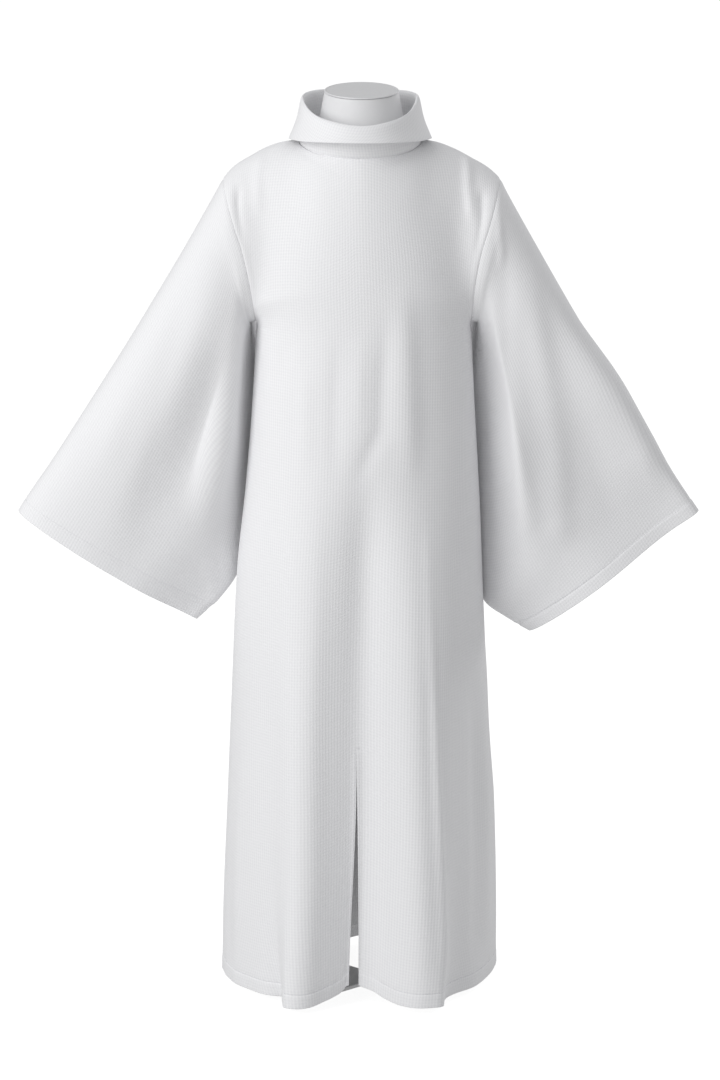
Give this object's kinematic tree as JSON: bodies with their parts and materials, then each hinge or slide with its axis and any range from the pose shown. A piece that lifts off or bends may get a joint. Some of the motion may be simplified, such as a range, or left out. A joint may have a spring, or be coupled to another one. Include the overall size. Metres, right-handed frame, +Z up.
{
  "type": "alb on a limbless dress form",
  "caption": "Floor-length white alb with a fold-over collar, wide sleeves and a front vent, hanging on a limbless dress form with a pole and cross base.",
  "frame": {"origin": "on the floor, on the flat underside of the stand's cross base, below the middle of the form's neck", "axes": "+X to the wearer's left, +Y to the wearer's back, +Z up"},
  "size_m": [1.1316, 0.4212, 1.5223],
  "materials": {
    "white_cloth": "matt white cloth with a fine pebbled weave",
    "form_shell": "smooth matt pale grey",
    "form_cap": "satin light grey",
    "stand_metal": "satin white paint"
  },
  "bodies": {
    "root": {"front": "white_cloth", "back": "white_cloth", "sleeve_right": "white_cloth", "sleeve_left": "white_cloth", "collar": "white_cloth", "form_torso": "form_shell", "form_neck_cap": "form_cap", "form_pole": "stand_metal", "form_base": "stand_metal"}
  },
  "joints": []
}
